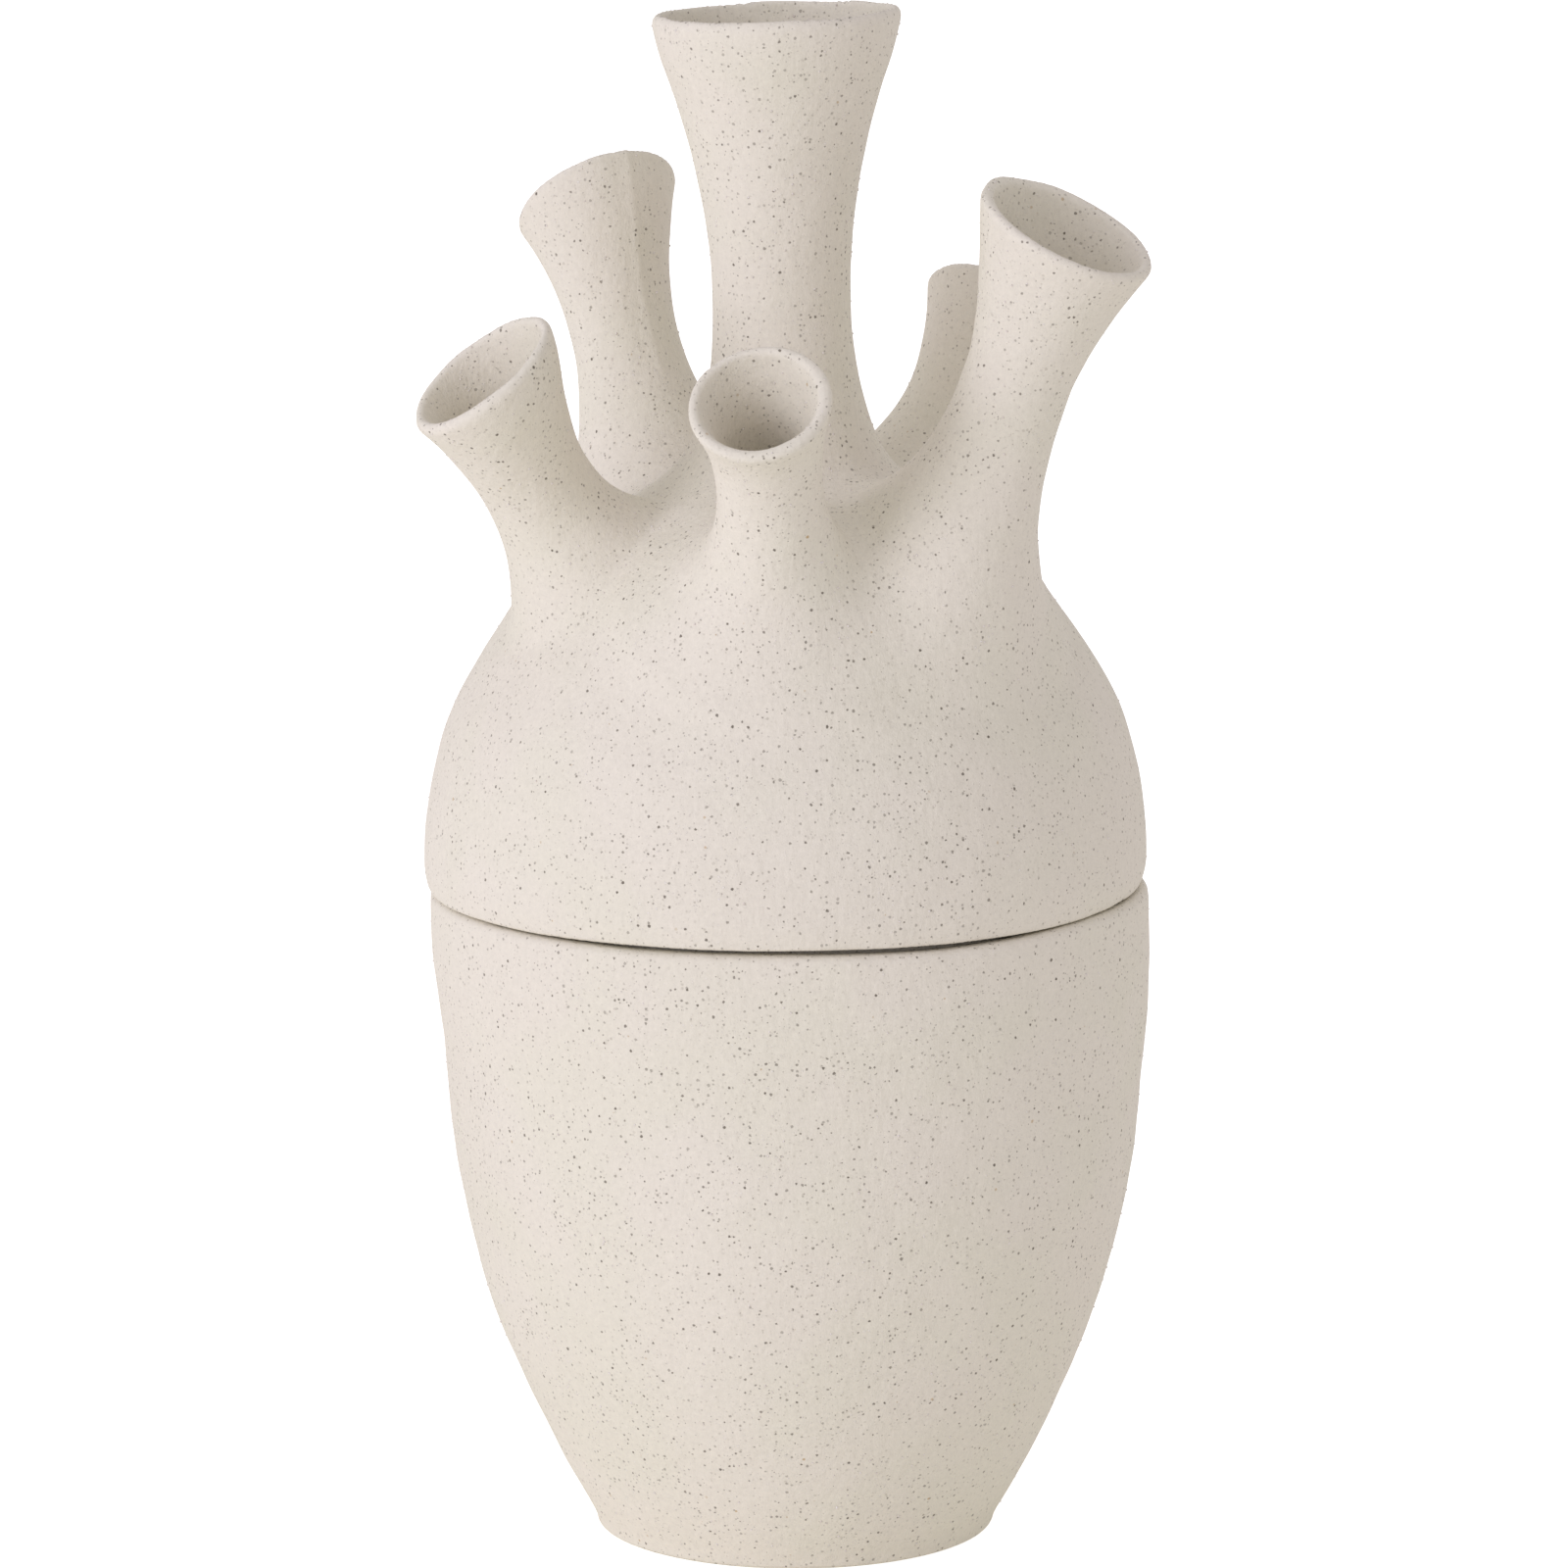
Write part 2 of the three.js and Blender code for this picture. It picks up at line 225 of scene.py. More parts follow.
class Tube:
    """A trumpet on a curved axis, which runs straight on at both ends: a little way into the
    dome, and past the mouth so that the bore stays open."""

    # How deep the axis runs on below its foot, and how softly the flare stops growing there
    SUNK = 12.0
    EASE = 4.0

    # How far past the mouth the lip's widening and its tuck go on, as shares of their length
    WIDENS_TO = 1.3
    TUCKS_TO = 1.2

    # Where along the spout a ridge starts, and over what share of it the ridge grows
    RIDGE_FROM = 0.35
    RIDGE_OVER = 0.3

    # Points on the axis, and the degree of the fit that tells how far along it each one is
    TRACK = 401
    RUN_DEGREE = 7

    # How many of those points lie between two first guesses of the nearest spot, how often
    # a guess is bettered, and the least share of the axis's speed that a bettering divides by
    APART = 50
    BETTERED = 4
    SLOWEST = 0.3

    # The trumpet matters only this near its axis
    MARGIN = 46

    # The step along the spout that its slope is measured over, each way
    STEP = 1e-3

    def __init__(self, corners, sizes):
        p0, p1, p2, p3 = corners
        self.sizes, self.start, self.mouth = sizes, p0, p3
        self.powers = np.array([p0, 3 * (p1 - p0), 3 * (p0 - 2 * p1 + p2), p3 - 3 * p2 + 3 * p1 - p0])
        self.start_way = (p1 - p0) / np.linalg.norm(p1 - p0)
        self.way = (p3 - p2) / np.linalg.norm(p3 - p2)
        self.cut = turned_direction(*sizes["cut"])
        t = np.linspace(0, 1, self.TRACK)
        track = self.at(t)[0]
        run = np.concatenate([[0], np.cumsum(np.linalg.norm(np.diff(track, axis=0), axis=1))])
        self.length = run[-1]
        self.share = np.polynomial.Polynomial.fit(t, run / run[-1], self.RUN_DEGREE)
        self.seeds, self.spots = t[:: self.APART], track[:: self.APART]
        self.low = track.min(0) - self.MARGIN
        self.high = track.max(0) + self.MARGIN

    def at(self, t):
        """Points of the axis, and its first and second derivatives there."""
        t = t[:, None]
        a, b, c, d = self.powers
        return a + t * (b + t * (c + t * d)), b + t * (2 * c + 3 * t * d), 2 * c + 6 * t * d

    def near(self, points):
        return np.all((points > self.low) & (points < self.high), axis=1)

    def place(self, points):
        """Offset from the axis, and how far along it the nearest point is, 1 at the mouth."""
        apart = ((points[:, None] - self.spots[None]) ** 2).sum(2)
        t = self.seeds[apart.argmin(1)]
        for _ in range(self.BETTERED):
            spot, rate, bend = self.at(t)
            off = spot - points
            speed = (rate**2).sum(1)
            fall = np.maximum(speed + (off * bend).sum(1), self.SLOWEST * speed)
            t = np.clip(t - (off * rate).sum(1) / fall, 0, 1)
        spot = self.at(t)[0]
        along = self.share(t)
        over = (points - self.mouth) @ self.way
        past = (t >= 1) & (over > 0)
        spot[past] = self.mouth + over[past, None] * self.way
        along[past] = 1 + over[past] / self.length
        under = (points - self.start) @ self.start_way
        sunk = (t <= 0) & (under < 0)
        depth = np.maximum(under[sunk], -self.SUNK)
        spot[sunk] = self.start + depth[:, None] * self.start_way
        along[sunk] = depth / self.length
        return points - spot, along

    def ridge(self, offset, along):
        """Height of the soft ridge that a mould's joint left, where the spout has one."""
        if "ridge" not in self.sizes:
            return 0.0
        turn, height, width = self.sizes["ridge"]
        facing = turned_direction(90, turn)
        side = np.cross(facing, self.way)
        across = (offset @ side) / (np.linalg.norm(side) * width)
        reach = np.clip((along - self.RIDGE_FROM) / self.RIDGE_OVER, 0, 1)
        return height * reach * np.exp(-(across**2)) * (offset @ facing > 0)

    def radius(self, along):
        s = self.sizes
        above = np.clip((along - s["at"]) / (1 - s["at"]), 0, self.WIDENS_TO)
        below = np.clip((s["at"] - along) / s["at"], 0, 1)
        widening = (s["lip"] - s["neck"]) * above ** s["powers"][0]
        flare = s["flare"] - s["neck"]
        steep = flare * s["powers"][1] / (s["at"] * self.length)
        sunk = np.maximum(-along, 0) * self.length
        ease = steep * self.EASE * (1 - np.exp(-sunk / self.EASE))
        start, most = s.get("tuck", (0.0, 0.0))
        tuck = most * np.clip((along - start) / (1 - start), 0, self.TUCKS_TO) ** 2
        return s["neck"] + widening + flare * below ** s["powers"][1] + ease - tuck

    def slope(self, along):
        rise = self.radius(along + self.STEP) - self.radius(along - self.STEP)
        return rise / (2 * self.STEP * self.length)

    def skins(self, points):
        """Distance to the open trumpet and to the one cut off at its lip, and how far along."""
        offset, along = self.place(points)
        gap = np.linalg.norm(offset, axis=1)
        wall = (gap - self.radius(along)) / np.sqrt(1 + self.slope(along) ** 2)
        over = (points - self.mouth) @ self.cut
        body = smooth_max(wall - self.ridge(offset, along), over, self.sizes["round"])
        return wall, body, along


TUBES = [Tube(centre_axis(CENTRE), CENTRE)] + [Tube(side_axis(s), s) for s in SPOUTS.values()]


def seam(turn):
    """Height of the seam's middle at a turn, and half the width that it gapes there."""
    turns, heights, widths = zip(*SEAM)
    turn = np.degrees(turn)
    return np.interp(turn, turns, heights), np.interp(turn, turns, widths) / 2


def turn_of(points):
    return np.arctan2(points[:, 0], -points[:, 1])


def dome(points):
    """Distance to the dome's outer surface, whose foot pulls in a little at the seat."""
    heights, shifts, swells = zip(*DOME_STRAY)
    shift = SHIFT_X + eased(points[:, 2], heights, shifts)
    r = np.hypot(points[:, 0] - shift, points[:, 1])
    z = np.maximum(points[:, 2] - DOME_Z, 0)
    middle, half = seam(turn_of(points))
    above = middle + half + SEAT_PULL_OVER - points[:, 2]
    pulled = SEAT_PULL * np.clip(above / SEAT_PULL_OVER, 0, 1) ** 2
    a, h, n = DOME_RADIUS - pulled, DOME_RISE, DOME_ROUNDNESS
    q = np.maximum(((r / a) ** n + (z / h) ** n) ** (1 / n), 1e-6)
    rate = np.hypot((r / a) ** (n - 1) / a, (z / h) ** (n - 1) / h) / q ** (n - 1)
    return (q - 1) / np.maximum(rate, 1e-6) - eased(points[:, 2], heights, swells)


def thinning(wall, along):
    """How much thinner than the dome the clay is, beside a spout's skin and along it."""
    beside = np.clip(THIN_FULL - np.abs(wall) / THIN_REACH, 0, 1)
    risen = np.clip((along - NECK_FROM) / NECK_OVER, 0, 1) * (DOME_WALL - NECK_WALL)
    opened = np.clip((along - LIP_FROM) / LIP_OVER, 0, 1) * (NECK_WALL - LIP_WALL)
    return beside * (risen + opened)


def flange(r, z):
    ring = np.abs(r - (FLANGE_OUTSIDE + FLANGE_INSIDE) / 2) - FLANGE_HALF
    ring = smooth_max(ring, FLANGE_END - z, FLANGE_EDGE)
    return np.maximum(ring, z - FLANGE_TOP)


def cover(points):
    """Distance-like field of the cover's clay: below 0 in the clay, above 0 outside it."""
    skin = dome(points)
    hollow = skin.copy()
    thinner = np.zeros(len(points))
    for tube in TUBES:
        near = tube.near(points)
        wall, body, along = tube.skins(points[near])
        blend = tube.sizes["blend"]
        skin[near] = smooth_min(skin[near], body, blend)
        hollow[near] = smooth_min(hollow[near], wall, blend)
        thinner[near] = np.maximum(thinner[near], thinning(wall, along))
    r = np.hypot(points[:, 0] - SHIFT_X, points[:, 1])
    z = points[:, 2]
    inside = FLANGE_INSIDE + np.maximum(0, z - DOME_Z) * INSIDE_WIDENS
    hollow = smooth_max(hollow + DOME_WALL - thinner, r - inside, INSIDE_CORNER)
    turn = turn_of(points)
    middle, half = seam(turn)
    seat = middle + half + SEAT_RIPPLE * np.sin(SEAT_RIPPLES * turn)
    rough = hand_marks(points, COVER_UNEVEN)
    skin = smooth_max(skin + rough, seat - z, SEAT_EDGE)
    skin = smooth_min(skin, flange(r, z), FLANGE_ROOT)
    return smooth_max(skin, rough - hollow, LIP_EDGE)


# The cover's mesh: the space that the cover fills, the coarse grid's spacing, the fine cells
# in each coarse one, and about how many triangles are kept
COVER_LOW = np.array([-91.0, -93.0, 130.0])
COVER_HIGH = np.array([88.0, 89.0, 346.0])
GRID = 4.4
GRID_PARTS = 5
COVER_TRIANGLES = 190000

# The field is worked out finely within this many coarse cells of the surface, in batches
BAND = 1.25
BATCH = 200000

# The eight corners of a grid's cell
CELL_CORNERS = [(i, j, k) for i in (0, 1) for j in (0, 1) for k in (0, 1)]


def neighboured(close):
    """The marked cells of a grid and the cells next to them."""
    for axis in range(3):
        wide = close.copy()
        front, back = [slice(None)] * 3, [slice(None)] * 3
        front[axis], back[axis] = slice(1, None), slice(None, -1)
        wide[tuple(front)] |= close[tuple(back)]
        wide[tuple(back)] |= close[tuple(front)]
        close = wide
    return close


def refined(grid, parts):
    for axis in range(3):
        grid = np.repeat(grid, parts, axis)
    return grid


def sampled(field, low, high, coarse, parts):
    """The field on a fine grid: worked out near the surface, and only its sign elsewhere."""
    fine = coarse / parts
    cells = np.ceil((high - low) / coarse).astype(int)
    axes = [low[i] + coarse * np.arange(cells[i] + 1) for i in range(3)]
    corners = np.stack(np.meshgrid(*axes, indexing="ij"), axis=-1).reshape(-1, 3)
    rough = field(corners).reshape(cells + 1)
    grown = refined(neighboured(np.abs(rough) < coarse * BAND), parts)
    values = refined(rough, parts)
    spots = low + np.argwhere(grown) * fine
    out = np.empty(len(spots))
    for start in range(0, len(spots), BATCH):
        out[start : start + BATCH] = field(spots[start : start + BATCH])
    values[grown] = out
    return values, fine


def crossed_cells(inside):
    """The cells of a grid whose corners lie on both sides of the surface."""
    nx, ny, nz = inside.shape
    count = np.zeros((nx - 1, ny - 1, nz - 1), np.int8)
    for i, j, k in CELL_CORNERS:
        count += inside[i : nx - 1 + i, j : ny - 1 + j, k : nz - 1 + k]
    return np.argwhere((count > 0) & (count < len(CELL_CORNERS))), count.shape


def cell_vertices(values, cells):
    """One spot in each cell: the mean of the places where its edges cross the zero level."""
    total, crossings = np.zeros((len(cells), 3)), np.zeros(len(cells))
    for a in CELL_CORNERS:
        for axis in range(3):
            if a[axis] == 1:
                continue
            b = list(a)
            b[axis] = 1
            fa, fb = (values[tuple((cells + c).T)] for c in (a, b))
            cut = (fa < 0) != (fb < 0)
            t = np.where(cut, fa / np.where(cut, fa - fb, 1), 0)
            p = np.tile(np.array(a, float), (len(cells), 1))
            p[:, axis] += t
            total[cut] += p[cut]
            crossings[cut] += 1
    return cells + total / crossings[:, None]


def surface(values, low, fine):
    """Vertices and quads of the zero level of a sampled field, one vertex in each crossed cell."""
    inside = values < 0
    cells, shape = crossed_cells(inside)
    number = np.full(shape, -1, np.int64)
    number[tuple(cells.T)] = np.arange(len(cells))
    vertices = cell_vertices(values, cells) * fine + low
    quads = []
    for axis, (u, v) in enumerate(((1, 2), (2, 0), (0, 1))):
        here, ahead = [slice(None)] * 3, [slice(None)] * 3
        here[axis], ahead[axis] = slice(0, -1), slice(1, None)
        first = inside[tuple(here)]
        edges = np.argwhere(first != inside[tuple(ahead)])
        leaving = first[tuple(edges.T)]
        quad = []
        for du, dv in ((1, 1), (0, 1), (0, 0), (1, 0)):
            cell = edges.copy()
            cell[:, u] -= du
            cell[:, v] -= dv
            quad.append(number[tuple(cell.T)])
        quad = np.stack(quad, axis=1)
        quad[~leaving] = quad[~leaving][:, ::-1]
        quads.append(quad)
    return vertices, np.concatenate(quads)


def settled(field, vertices, step=0.05, least=0.2, farthest=0.6):
    """Vertices moved onto the field's zero level, and the field's direction there."""
    here = field(vertices)
    rate = np.stack(
        [(field(vertices + step * np.eye(3)[i]) - here) / step for i in range(3)], axis=1
    )
    size = np.maximum((rate**2).sum(1), least)
    move = -np.clip(here / size, -farthest, farthest)[:, None] * rate
    return vertices + move, rate / np.linalg.norm(rate, axis=1, keepdims=True)


def smoothed(mesh):
    mesh.polygons.foreach_set("use_smooth", [True] * len(mesh.polygons))


def places_of(mesh):
    """Places of a mesh's vertices in millimetres."""
    places = np.zeros(len(mesh.vertices) * 3)
    mesh.vertices.foreach_get("co", places)
    return places.reshape(-1, 3) / MM


def mesh_object(name, vertices, faces):
    mesh = bpy.data.meshes.new(name)
    mesh.from_pydata((np.asarray(vertices) * MM).tolist(), [], [list(face) for face in faces])
    mesh.update()
    smoothed(mesh)
    piece = bpy.data.objects.new(name, mesh)
    bpy.context.scene.collection.objects.link(piece)
    return piece


def merged(piece, triangles):
    """The piece with flat stretches of its mesh merged, down to about that many triangles."""
    now = sum(len(p.vertices) - 2 for p in piece.data.polygons)
    if now > triangles:
        merge = piece.modifiers.new("merge", "DECIMATE")
        merge.ratio = triangles / now
        graph = bpy.context.evaluated_depsgraph_get()
        mesh = bpy.data.meshes.new_from_object(piece.evaluated_get(graph))
        piece.modifiers.clear()
        piece.data = mesh
    return piece


def make_cover():
    parts = GRID_PARTS
    values, fine = sampled(cover, COVER_LOW, COVER_HIGH, GRID, parts)
    raw = mesh_object("cover_skin", *surface(values, COVER_LOW, fine))
    piece = merged(raw, COVER_TRIANGLES)
    mesh = piece.data
    moved, way = settled(cover, places_of(mesh))
    mesh.vertices.foreach_set("co", (moved * MM).ravel())
    smoothed(mesh)
    mesh.normals_split_custom_set_from_vertices(way.tolist())
    mesh.update()
    return piece


# Vessel: an egg cut flat at the foot and at the rim, turned on the wheel

# The wall's line: radius, tilt and handle at the foot, then radius, handle and height on top
WALL_FOOT = (44.05, 27.1, 36.9)
WALL_TOP = (79.6, 82.4, 144.0)
WALL_POINTS = 400
VESSEL_WALL = 5.0
FLOOR_Z = 7.0
FLOOR_ROUND = 10
RIM_Z = 144.95
FOOT_ROUND = 1.6
RIM_ROUND = 2.0
RIM_ROUND_INSIDE = 1.5

# The hollow under the foot: its depth, the radii of its flat's first and last ring and how
# many rings there are, and its edge as (radius, height)
RECESS = 0.35
RECESS_FLAT = (6, 24, 4)
RECESS_EDGE = [(27, 0.3), (30, 0.12), (33, 0.0), (37, 0.0)]

# Radii of the rings on the inner floor, and of the ring next to the axis, above and below
FLOOR_RINGS = (26, 18, 10, 4)
INNERMOST = 0.4

# Rings of vertices on the outer and the inner wall, and vertices in each ring
OUTSIDE_RINGS = 100
INSIDE_RINGS = 74
SIDES = 288

# How far those rings keep from the foot's and the rim's rounding, the rim and the floor
CLEAR_OF_FOOT, CLEAR_OF_RIM = 0.8, 0.4
INSIDE_UNDER_RIM, INSIDE_OVER_FLOOR = 1.8, 11

# The rim follows the seam's wave, which fades out downwards: from this height, over this much
WAVE_FROM, WAVE_OVER = 130, 12

# Unevenness fades out near the axis and near the bench, over these distances
EVEN_NEAR_AXIS, EVEN_NEAR_BENCH = 12, 4

# How the vessel strays from a true one: height and sideways shift, height and swell
VESSEL_SHIFT = (
    (0, 0.15), (36, 0.15), (57, 0.05), (72, 0.5), (86, 0.3), (95, 0.15), (112, 0.0),
    (125, -0.55), (133, -1.0), (150, -1.4),
)
VESSEL_SWELL = (
    (0, -0.4), (5, -0.4), (11, 0.2), (19, 0.05), (31, -0.15), (45, 0.15), (58, 0.3),
    (67, 0.15), (84, 0.4), (96, 0.1), (108, -0.3), (120, 0.15), (132, 0.55), (140, 0.45),
    (146, 0.2),
)


def bezier(p0, p1, p2, p3, count):
    t = np.linspace(0, 1, count)[:, None]
    return (1 - t) ** 3 * p0 + 3 * (1 - t) ** 2 * t * p1 + 3 * (1 - t) * t**2 * p2 + t**3 * p3


def wall_line():
    """Points (radius, height) of the vessel's outer wall, from the bench to the rim."""
    radius, tilt, handle = WALL_FOOT
    top_radius, top_handle, top = WALL_TOP
    a = math.radians(tilt)
    p0, p3 = np.array([radius, 0.0]), np.array([top_radius, top])
    p1 = p0 + handle * np.array([math.sin(a), math.cos(a)])
    return bezier(p0, p1, p3 - np.array([0, top_handle]), p3, WALL_POINTS)


def bend(r, z, size, start, end, count):
    """Points (radius, height) of a round edge about a centre, between two angles."""
    return [
        (r + size * math.cos(math.radians(a)), z + size * math.sin(math.radians(a)))
        for a in np.linspace(start, end, count)
    ]


def vessel_profile():
    """Points (radius, height) round the vessel's wall, from under the foot to the inner floor."""
    line = wall_line()
    rim, lip, foot, floor, top = RIM_ROUND, RIM_ROUND_INSIDE, FOOT_ROUND, FLOOR_ROUND, RIM_Z

    def at(z):
        return np.interp(z, line[:, 1], line[:, 0])

    rising = np.linspace(foot + CLEAR_OF_FOOT, top - rim - CLEAR_OF_RIM, OUTSIDE_RINGS)
    sinking = np.linspace(top - INSIDE_UNDER_RIM, FLOOR_Z + INSIDE_OVER_FLOOR, INSIDE_RINGS)
    outside = [(at(z), z) for z in rising]
    inside = [(at(z) - VESSEL_WALL, z) for z in sinking]
    profile = [(INNERMOST, RECESS)] + [(r, RECESS) for r in np.linspace(*RECESS_FLAT)] + RECESS_EDGE
    profile += bend(at(foot) - foot, foot, foot, start=-90, end=-8, count=6) + outside
    profile += bend(at(top) - rim, top - rim, rim, start=12, end=90, count=7)
    lip_middle = at(top) - VESSEL_WALL + lip
    profile += bend(lip_middle, top - lip, lip, start=90, end=168, count=6) + inside
    floor_middle = at(FLOOR_Z + floor) - VESSEL_WALL - floor
    profile += bend(floor_middle, FLOOR_Z + floor, floor, start=-20, end=-90, count=9)
    profile += [(r, FLOOR_Z) for r in FLOOR_RINGS + (INNERMOST,)]
    return np.array(profile)


def shaped_by_hand(places):
    """The turned places with the hand's unevenness, the vessel's strays and the rim's wave."""
    swell = hand_marks(places, VESSEL_UNEVEN)
    swell += eased(places[:, 2], *zip(*VESSEL_SWELL))
    size = np.maximum(np.hypot(places[:, 0], places[:, 1]), 1e-6)
    ease = np.clip(size / EVEN_NEAR_AXIS, 0, 1) * np.clip(places[:, 2] / EVEN_NEAR_BENCH, 0, 1)
    places[:, :2] *= (1 + swell * ease / size)[:, None]
    middle, half = seam(turn_of(places))
    places[:, 0] += eased(places[:, 2], *zip(*VESSEL_SHIFT))
    share = np.clip((places[:, 2] - WAVE_FROM) / WAVE_OVER, 0, 1)
    places[:, 2] += share * (middle - half - RIM_Z)
    return places


def make_vessel():
    profile = vessel_profile()
    turn = np.linspace(0, 2 * math.pi, SIDES, endpoint=False)
    ring = np.stack([np.sin(turn), -np.cos(turn)], axis=1)
    places = np.zeros((len(profile), SIDES, 3))
    places[:, :, :2] = profile[:, None, :1] * ring[None]
    places[:, :, 2] = profile[:, 1:2]
    places = shaped_by_hand(places.reshape(-1, 3))
    row = np.arange(SIDES)
    after = (row + 1) % SIDES
    faces = []
    for i in range(len(profile) - 1):
        a, b = i * SIDES, (i + 1) * SIDES
        faces += np.stack([a + row, a + after, b + after, b + row], axis=1).tolist()
    last = (len(profile) - 1) * SIDES
    under = len(places)
    places = np.vstack([places, [0, 0, RECESS], [0, 0, FLOOR_Z]])
    faces += [[under, int(j), int(i)] for i, j in zip(row, after)]
    faces += [[under + 1, last + int(i), last + int(j)] for i, j in zip(row, after)]
    return mesh_object("vessel_skin", places, faces)


# Grit: sand grains that stand half out of the clay

GRAIN = np.array([[1, 0, 0], [0, 1, 0], [-1, 0, 0], [0, -1, 0], [0, 0, 1], [0, 0, -1]], float)
GRAIN_FACES = [(0, 1, 4), (1, 2, 4), (2, 3, 4), (3, 0, 4), (1, 0, 5), (2, 1, 5), (3, 2, 5), (0, 3, 5)]

# Half a grain's width, and how far its corners stray from that
GRAIN_SIZES = (0.16, 0.34)
GRAIN_STRAYS = (0.75, 1.25)

# Grains keep clear of the bench, the rim and the seat, and thicken over the dome's crown
VESSEL_GRIT_FROM, VESSEL_GRIT_TO = 4, 140
COVER_GRIT_FROM = 151
GRIT_THICKENS_FROM, GRIT_THICKENS_OVER = 205, 25
GRIT_ON_DOME = 0.35

# A grain is wanted only where there is no clay this far out from it
CLEAR_OUT = 3


def make_grit(name, skin, count, seed, wanted):
    """Closed grains sunk halfway into a skin, scattered by area where they are wanted."""
    mesh = skin.data
    mesh.calc_loop_triangles()
    corners = np.zeros(len(mesh.loop_triangles) * 3, np.int32)
    mesh.loop_triangles.foreach_get("vertices", corners)
    triangles = places_of(mesh)[corners.reshape(-1, 3)]
    across = np.cross(triangles[:, 1] - triangles[:, 0], triangles[:, 2] - triangles[:, 0])
    area = np.linalg.norm(across, axis=1)
    share = area * wanted(triangles.mean(1), across / np.maximum(area, 1e-9)[:, None])
    rng = np.random.default_rng(seed)
    chosen = triangles[rng.choice(len(triangles), count, p=share / share.sum())]
    u, v = rng.random((2, count, 1))
    u, v = np.where(u + v > 1, 1 - u, u), np.where(u + v > 1, 1 - v, v)
    spots = chosen[:, 0] + u * (chosen[:, 1] - chosen[:, 0]) + v * (chosen[:, 2] - chosen[:, 0])
    sizes = rng.uniform(*GRAIN_SIZES, (count, 1, 1)) * rng.uniform(*GRAIN_STRAYS, (count, 6, 1))
    spin = np.linalg.qr(rng.normal(size=(count, 3, 3)))[0]
    spin *= np.linalg.det(spin)[:, None, None]
    points = (GRAIN[None] * sizes) @ spin + spots[:, None]
    faces = [tuple(6 * i + j for j in face) for i in range(count) for face in GRAIN_FACES]
    return mesh_object(name, points.reshape(-1, 3), faces)


def patches_at(places):
    """How thick the grains lie at these places: a little everywhere, more in patches."""
    return np.clip(0.6 + 0.5 * uneven(places, CLOSE), 0.1, 2)


def cover_wanted(places, ways):
    """Most grains lie on the spouts and round their mouths; none near the seam or inside."""
    outside = cover(places + CLEAR_OUT * ways) > 0
    risen = np.clip((places[:, 2] - GRIT_THICKENS_FROM) / GRIT_THICKENS_OVER, 0, 1)
    high = GRIT_ON_DOME + (1 - GRIT_ON_DOME) * risen
    return outside * (places[:, 2] > COVER_GRIT_FROM) * high * patches_at(places)


def vessel_wanted(places, ways):
    outward = (ways[:, :2] * places[:, :2]).sum(1) > 0
    low, high = places[:, 2] > VESSEL_GRIT_FROM, places[:, 2] < VESSEL_GRIT_TO
    return outward * low * high * patches_at(places)


# Speckled clay

CLAY_WARM = (0.735, 0.690, 0.570, 1)
CLAY_PLAIN = (0.723, 0.676, 0.558, 1)
CLAY_GREENISH = (0.703, 0.676, 0.533, 1)
SPECK_DARK = (0.096, 0.078, 0.052, 1)
SPECK_FAINT = (0.27, 0.235, 0.172, 1)
RUST = (0.42, 0.26, 0.08, 1)
SAND_PALE = (0.93, 0.90, 0.84, 1)
QUARTZ = (0.78, 0.735, 0.67, 1)
FELDSPAR = (0.66, 0.60, 0.52, 1)


